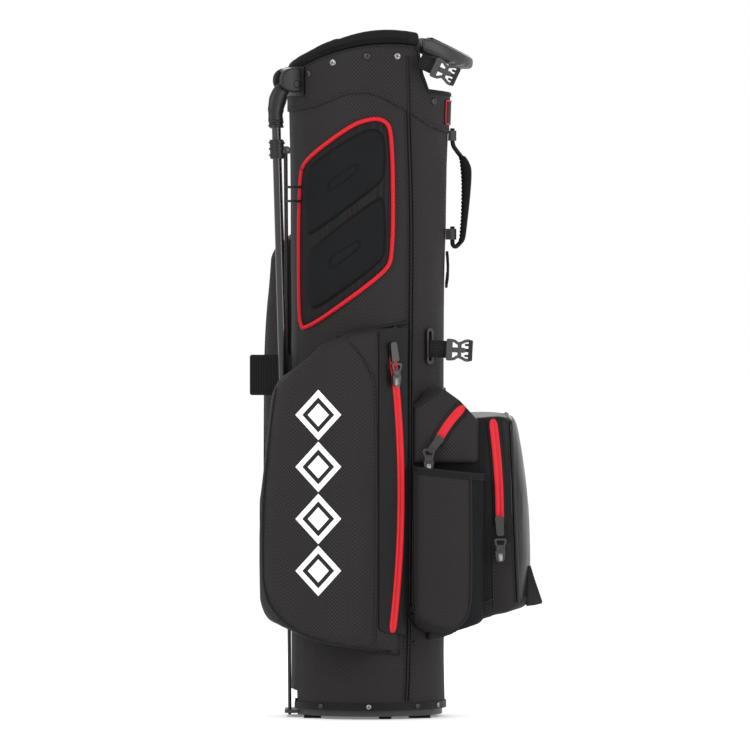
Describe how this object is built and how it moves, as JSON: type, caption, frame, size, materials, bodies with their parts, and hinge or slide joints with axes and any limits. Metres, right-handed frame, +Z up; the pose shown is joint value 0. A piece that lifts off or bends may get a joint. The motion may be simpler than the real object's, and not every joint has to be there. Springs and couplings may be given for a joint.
{
  "type": "golf stand bag",
  "caption": "Soft-sided golf carry bag with a divided top cuff, swing-out stand legs driven by a hinged base plate, zipped side and ball pockets, and a lift handle.",
  "frame": {"origin": "centre of the bag's footprint box, on the floor that its feet stand on; the body's own axis stands 36 mm towards -X from it", "axes": "+Z up along the body; -X towards the stand legs; +X towards the ball pocket and handles; -Y towards the side with the hip pad"},
  "size_m": [0.3752, 0.3128, 0.88],
  "materials": {
    "moulded_black": "fine-grained moulded nylon",
    "moulded_grey": "satin moulded nylon",
    "rubber_black": "soft rubber",
    "body_fabric": "charcoal honeycomb ripstop",
    "liner_fabric": "plain woven liner",
    "laminate_black": "matte welded laminate",
    "neoprene_black": "soft neoprene",
    "mesh_black": "padded air mesh",
    "zip_red": "coated zipper tape",
    "piping_red": "red woven piping",
    "leg_gloss": "gloss black anodised tube",
    "wire_steel": "black coated spring wire",
    "pin_steel": "steel",
    "screw_steel": "bright screw",
    "stay_glass": "pultruded rod"
  },
  "bodies": {
    "bag": {"base_cup": "moulded_grey", "base_feet": "rubber_black", "base_hinge_pin": "pin_steel", "base_band": "laminate_black", "base_screws": "screw_steel", "body_shell": "body_fabric", "stay_rods": "stay_glass", "top_cuff": "moulded_black", "cuff_collar": "mesh_black", "divider_pads": "mesh_black", "cuff_handle": "moulded_grey", "cuff_screws": "screw_steel", "divider_long": "liner_fabric", "divider_cross": "liner_fabric", "seam_piping": "laminate_black", "leg_bracket": "moulded_black", "leg_pins": "pin_steel", "leg_bumpers": "rubber_black", "leg_strap": "neoprene_black", "near_pocket": "body_fabric", "far_pocket": "body_fabric", "near_zip_band": "laminate_black", "far_zip_band": "laminate_black", "near_zip_coil": "zip_red", "far_zip_coil": "zip_red", "ball_pocket": "laminate_black", "ball_zip_tape": "zip_red", "valuables_pocket": "body_fabric", "valuables_zip_tape": "zip_red", "bottle_pocket": "body_fabric", "rain_flap": "laminate_black", "hip_pad": "neoprene_black", "hip_pad_piping": "piping_red", "grab_anchors": "moulded_black", "buckle_slot": "moulded_grey", "label_patch": "laminate_black"},
    "plate": {"base_plate": "moulded_black"},
    "leg_n": {"leg_head_near": "moulded_black", "leg_tube_near": "leg_gloss", "leg_foot_near": "rubber_black", "leg_sleeve_near": "moulded_black", "rod_pin_near": "pin_steel"},
    "leg_f": {"leg_head_far": "moulded_black", "leg_tube_far": "leg_gloss", "leg_foot_far": "rubber_black", "leg_sleeve_far": "moulded_black", "rod_pin_far": "pin_steel"},
    "rod_n": {"rod_near": "wire_steel"},
    "rod_f": {"rod_far": "wire_steel"},
    "near_zip_slider": {"near_slider": "moulded_grey"},
    "far_zip_slider": {"far_slider": "moulded_grey"},
    "near_zip_pull": {"near_pull": "rubber_black"},
    "far_zip_pull": {"far_pull": "rubber_black"},
    "ball_zip_slider": {"ball_slider": "moulded_grey"},
    "ball_zip_pull": {"ball_pull": "rubber_black"},
    "valuables_zip_slider": {"valuables_slider": "moulded_grey"},
    "valuables_zip_pull": {"valuables_pull": "rubber_black"},
    "handle": {"grab_handle": "rubber_black"},
    "strap_buckle_upper": {"upper_buckle": "moulded_black"},
    "strap_buckle_mid": {"mid_buckle": "moulded_black"}
  },
  "joints": [
    {"name": "leg_near_swing", "type": "hinge", "parent": "bag", "child": "leg_n", "pos_m": [-0.133, -0.055, 0.811], "axis": [-0.4695, 0.8829, 0], "range_deg": [0, 33], "stiffness_Nm_per_rad": 0.5, "springref_deg": -20.05},
    {"name": "leg_far_swing", "type": "hinge", "parent": "bag", "child": "leg_f", "pos_m": [-0.133, 0.055, 0.811], "axis": [0.4695, 0.8829, 0], "range_deg": [0, 33.5]},
    {"name": "rod_near_hinge", "type": "hinge", "parent": "leg_n", "child": "rod_n", "pos_m": [-0.14183, -0.05969, 0.727], "axis": [-0.4695, 0.8829, 0], "range_deg": [-37, 0]},
    {"name": "rod_far_hinge", "type": "hinge", "parent": "leg_f", "child": "rod_f", "pos_m": [-0.14183, 0.05969, 0.727], "axis": [0.4695, 0.8829, 0], "range_deg": [-37, 0]},
    {"name": "base_plate_hinge", "type": "hinge", "parent": "bag", "child": "plate", "pos_m": [0.008, 0, 0.009], "axis": [0, 1, 0], "range_deg": [0, 8.6]},
    {"name": "near_zip_run", "type": "hinge", "parent": "bag", "child": "near_zip_slider", "pos_m": [-0.9533, -0.76671, 0.2895], "axis": [-0.5736, 0.8191, 0], "range_deg": [0, 15.8]},
    {"name": "near_pull_swing", "type": "hinge", "parent": "near_zip_slider", "child": "near_zip_pull", "pos_m": [0.00026, -0.11074, 0.456], "axis": [0.5736, -0.8191, 0], "range_deg": [-60, 60]},
    {"name": "far_zip_run", "type": "hinge", "parent": "bag", "child": "far_zip_slider", "pos_m": [-0.9533, 0.76671, 0.354], "axis": [0.5736, 0.8191, 0], "range_deg": [0, 22.2]},
    {"name": "far_pull_swing", "type": "hinge", "parent": "far_zip_slider", "child": "far_zip_pull", "pos_m": [-0.00909, 0.11729, 0.585], "axis": [0.5736, 0.8191, 0], "range_deg": [-60, 60]},
    {"name": "ball_zip_run", "type": "slide", "parent": "bag", "child": "ball_zip_slider", "axis": [-0.065, 0, 0.9979], "range_m": [0, 0.112]},
    {"name": "ball_pull_swing", "type": "hinge", "parent": "ball_zip_slider", "child": "ball_zip_pull", "pos_m": [0.1333, -0.0816, 0.2316], "axis": [0, 1, 0], "range_deg": [-60, 22]},
    {"name": "valuables_zip_run", "type": "slide", "parent": "bag", "child": "valuables_zip_slider", "axis": [0.6046, 0, 0.7966], "range_m": [0, 0.05]},
    {"name": "valuables_pull_swing", "type": "hinge", "parent": "valuables_zip_slider", "child": "valuables_zip_pull", "pos_m": [0.0417, -0.1006, 0.3467], "axis": [0, 1, 0], "range_deg": [-60, 10]},
    {"name": "grab_handle_swing", "type": "hinge", "parent": "bag", "child": "handle", "pos_m": [0.0725, 0, 0.68], "axis": [0, 0, 1], "range_deg": [-45, 45]},
    {"name": "upper_buckle_flex", "type": "hinge", "parent": "bag", "child": "strap_buckle_upper", "pos_m": [0.03, -0.096, 0.841], "axis": [0.4226, 0, 0.9063], "range_deg": [-60, 0]},
    {"name": "mid_buckle_flex", "type": "hinge", "parent": "bag", "child": "strap_buckle_mid", "pos_m": [0.043, -0.068, 0.473], "axis": [0, 0, 1], "range_deg": [-60, 25]}
  ],
  "couplings": [
    {"joint": "leg_far_swing", "follows": "leg_near_swing", "ratio": 1},
    {"joint": "rod_near_hinge", "follows": "leg_near_swing", "ratio": -1.106},
    {"joint": "rod_far_hinge", "follows": "leg_near_swing", "ratio": -1.106},
    {"joint": "base_plate_hinge", "follows": "leg_near_swing", "ratio": 0.26015}
  ]
}
